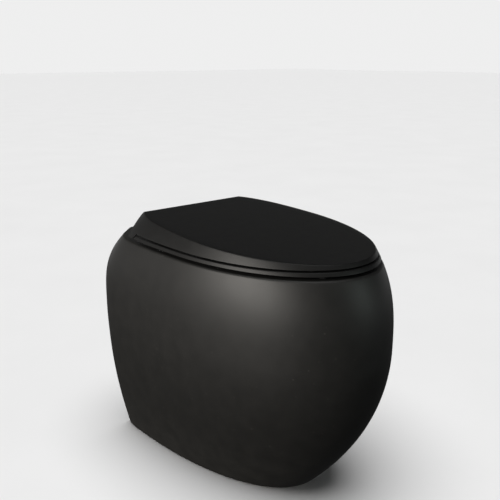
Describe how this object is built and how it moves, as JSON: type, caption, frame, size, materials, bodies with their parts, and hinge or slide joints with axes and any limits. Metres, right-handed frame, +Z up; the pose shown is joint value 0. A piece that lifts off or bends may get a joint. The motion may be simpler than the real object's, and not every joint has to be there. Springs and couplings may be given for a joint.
{
  "type": "back-to-wall toilet",
  "caption": "Floor-standing egg-shaped back-to-wall toilet pan with a slim soft-close seat and wedge lid, rimless bowl, horizontal outlet and lift-off hinges.",
  "frame": {"origin": "centre of the footprint's bounding box on the floor", "axes": "+X across the pan to the right as seen from the wall's opposite side, +Y to the wall, +Z up; the front of the bowl is at -Y"},
  "size_m": [0.3702, 0.5603, 0.4708],
  "materials": {
    "black_glaze": "matte black vitreous glaze",
    "black_seat": "matte black thermoset",
    "black_lid": "matte black thermoset",
    "buffer_rubber": "soft matte",
    "seal_rubber": "soft matte",
    "white_plastic": "moulded",
    "grey_plastic": "moulded",
    "damper_plastic": "moulded",
    "satin_steel": "satin stainless",
    "chrome_trim": "polished",
    "zinc_steel": "zinc plated"
  },
  "bodies": {
    "pan_body": {"pan": "black_glaze", "inlet_seal": "seal_rubber", "flush_distributor": "white_plastic", "clamp_plugs": "grey_plastic", "clamp_washers": "zinc_steel", "clamp_bolts": "zinc_steel", "hinge_post_left": "satin_steel", "hinge_cover_left": "chrome_trim", "hinge_block_left": "satin_steel", "hinge_pin_left": "satin_steel", "release_spring_left": "satin_steel", "stud_sleeve_left": "seal_rubber", "stud_washer_left": "grey_plastic", "floor_bracket_left": "zinc_steel", "hinge_post_right": "satin_steel", "hinge_cover_right": "chrome_trim", "hinge_block_right": "satin_steel", "hinge_pin_right": "satin_steel", "release_spring_right": "satin_steel", "stud_sleeve_right": "seal_rubber", "stud_washer_right": "grey_plastic", "floor_bracket_right": "zinc_steel"},
    "seat": {"seat_ring": "black_seat", "seat_buffers": "buffer_rubber", "seat_bush": "grey_plastic", "seat_damper": "damper_plastic"},
    "lid": {"lid": "black_lid", "lid_buffers": "buffer_rubber", "lid_bush": "grey_plastic", "lid_damper": "damper_plastic"},
    "button_left": {"release_button_left": "grey_plastic"},
    "nut_left": {"wing_nut_left": "grey_plastic"},
    "button_right": {"release_button_right": "grey_plastic"},
    "nut_right": {"wing_nut_right": "grey_plastic"}
  },
  "joints": [
    {"name": "seat_hinge", "type": "hinge", "parent": "pan_body", "child": "seat", "pos_m": [0, 0.187, 0.448], "axis": [1, 0, 0], "range_deg": [-95, 0]},
    {"name": "lid_hinge", "type": "hinge", "parent": "seat", "child": "lid", "pos_m": [0, 0.187, 0.448], "axis": [-1, 0, 0], "range_deg": [0, 95]},
    {"name": "release_button_left_press", "type": "slide", "parent": "pan_body", "child": "button_left", "axis": [0, 1, 0], "range_m": [0, 0.003], "stiffness_N_per_m": 300, "deforming": ["release_spring_left"]},
    {"name": "wing_nut_left_turn", "type": "hinge", "parent": "pan_body", "child": "nut_left", "pos_m": [-0.0775, 0.187, 0.399], "axis": [0, 0, 1], "continuous": true},
    {"name": "release_button_right_press", "type": "slide", "parent": "pan_body", "child": "button_right", "axis": [0, 1, 0], "range_m": [0, 0.003], "stiffness_N_per_m": 300, "deforming": ["release_spring_right"]},
    {"name": "wing_nut_right_turn", "type": "hinge", "parent": "pan_body", "child": "nut_right", "pos_m": [0.0775, 0.187, 0.399], "axis": [0, 0, 1], "continuous": true}
  ]
}
